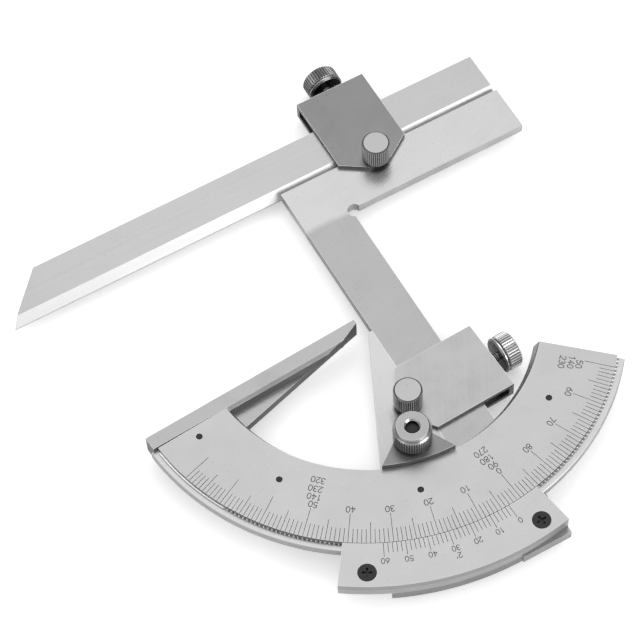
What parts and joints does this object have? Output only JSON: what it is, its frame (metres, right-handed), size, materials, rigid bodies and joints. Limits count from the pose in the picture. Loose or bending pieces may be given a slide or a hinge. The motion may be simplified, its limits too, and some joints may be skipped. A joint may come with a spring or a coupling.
{
  "type": "universal bevel protractor",
  "caption": "Universal bevel protractor: graduated ring with a base rule, swinging sector with vernier and brake, sliding square and clamped straight rule.",
  "frame": {"origin": "scale centre, the vertex of the measured angle, at the level of the sector plate's back face", "axes": "+X runs back along the base rule towards the vertex side, +Y is the outward normal of the base rule's measuring face, +Z points out of the graduated face"},
  "size_m": [0.1505, 0.1562, 0.0194],
  "materials": {
    "ground_steel": "ground, fine straight grain",
    "satin_scale": "satin chrome plated",
    "dark_steel": "ground, darker satin",
    "plated_knob": "bright nickel, knurled",
    "dark_knob": "dull nickel, knurled",
    "black_screw": "black oxide",
    "bush_brass": "turned"
  },
  "bodies": {
    "base": {"ring_body": "ground_steel", "gear_segment": "ground_steel", "scale_plate": "satin_scale", "scale_screws": "black_screw", "base_rule": "ground_steel", "base_screws": "black_screw"},
    "sector": {"sector_plate": "ground_steel", "vernier_carrier": "ground_steel", "vernier_plate": "satin_scale", "vernier_screws": "black_screw", "carrier_screws": "black_screw", "pinion_bush": "bush_brass", "brake_stud": "dark_steel"},
    "fine_adjuster": {"pinion": "ground_steel", "back_knob": "plated_knob"},
    "brake_shoe": {"brake_shoe": "dark_steel"},
    "brake_nut": {"brake_nut": "plated_knob"},
    "lower_clamp": {"lower_clamp": "ground_steel"},
    "lower_nose_screw": {"lower_nose_screw": "plated_knob"},
    "lower_pressure_bar": {"lower_pressure_bar": "dark_steel"},
    "lower_side_screw": {"lower_side_screw": "plated_knob"},
    "square": {"square": "ground_steel"},
    "upper_clamp": {"upper_clamp": "dark_steel"},
    "upper_nose_screw": {"upper_nose_screw": "plated_knob"},
    "upper_pressure_bar": {"upper_pressure_bar": "dark_steel"},
    "upper_side_screw": {"upper_side_screw": "dark_knob"},
    "straight_rule": {"straight_rule": "ground_steel"}
  },
  "joints": [
    {"name": "sector_swing", "type": "hinge", "parent": "base", "child": "sector", "pos_m": [0, 0, 0.003], "axis": [0, 0, 1], "range_deg": [-46.7, 43.3]},
    {"name": "fine_adjust_spin", "type": "hinge", "parent": "sector", "child": "fine_adjuster", "pos_m": [-0.0189, -0.06725, 0.003], "axis": [0, 0, 1], "range_deg": [-1055, 980]},
    {"name": "brake_shoe_lift", "type": "slide", "parent": "sector", "child": "brake_shoe", "axis": [0, 0, 1], "range_m": [-0.000084, 0.0005001]},
    {"name": "brake_nut_turn", "type": "hinge", "parent": "brake_shoe", "child": "brake_nut", "pos_m": [-0.01095, -0.03795, 0.008], "axis": [0, 0, 1], "range_deg": [-60.6, 360.2]},
    {"name": "square_slide", "type": "slide", "parent": "sector", "child": "square", "axis": [0.0576, 0.9983, 0], "range_m": [-0.046, 0.04]},
    {"name": "straight_rule_slide", "type": "slide", "parent": "square", "child": "straight_rule", "axis": [0.9983, -0.0576, 0], "range_m": [-0.029, 0.08]},
    {"name": "upper_clamp_slide", "type": "slide", "parent": "square", "child": "upper_clamp", "axis": [0.9983, -0.0576, 0], "range_m": [-0.017, 0.029]},
    {"name": "upper_nose_screw_turn", "type": "hinge", "parent": "upper_clamp", "child": "upper_nose_screw", "pos_m": [0.03093, 0.04299, 0.004], "axis": [0, 0, 1], "range_deg": [0, 360]},
    {"name": "upper_pressure_bar_slide", "type": "slide", "parent": "upper_clamp", "child": "upper_pressure_bar", "axis": [0.0576, 0.9983, 0], "range_m": [-0.00006, 0.002]},
    {"name": "upper_side_screw_turn", "type": "hinge", "parent": "upper_pressure_bar", "child": "upper_side_screw", "pos_m": [0.03236, 0.06795, 0.0015], "axis": [0.0576, 0.9983, 0], "range_deg": [-40.5, 1440.2]},
    {"name": "lower_clamp_swivel", "type": "hinge", "parent": "sector", "child": "lower_clamp", "pos_m": [-0.00452, -0.0262, 0.004], "axis": [0, 0, 1], "range_deg": [-2.6, 0]},
    {"name": "lower_nose_screw_turn", "type": "hinge", "parent": "lower_clamp", "child": "lower_nose_screw", "pos_m": [-0.00452, -0.0262, 0.004], "axis": [0, 0, 1], "range_deg": [0, 360]},
    {"name": "lower_pressure_bar_slide", "type": "slide", "parent": "lower_clamp", "child": "lower_pressure_bar", "axis": [0.9999, -0.0122, 0], "range_m": [-0.00006, 0.002]},
    {"name": "lower_side_screw_turn", "type": "hinge", "parent": "lower_pressure_bar", "child": "lower_side_screw", "pos_m": [0.02048, -0.0265, 0.0015], "axis": [0.9999, -0.0122, 0], "range_deg": [-40.5, 1440.2]}
  ],
  "couplings": [
    {"joint": "fine_adjust_spin", "follows": "sector_swing", "ratio": 22.5},
    {"joint": "brake_nut_turn", "follows": "brake_shoe_lift", "rad_per_m": 12566},
    {"joint": "upper_side_screw_turn", "follows": "upper_pressure_bar_slide", "rad_per_m": 12566},
    {"joint": "lower_side_screw_turn", "follows": "lower_pressure_bar_slide", "rad_per_m": 12566}
  ]
}
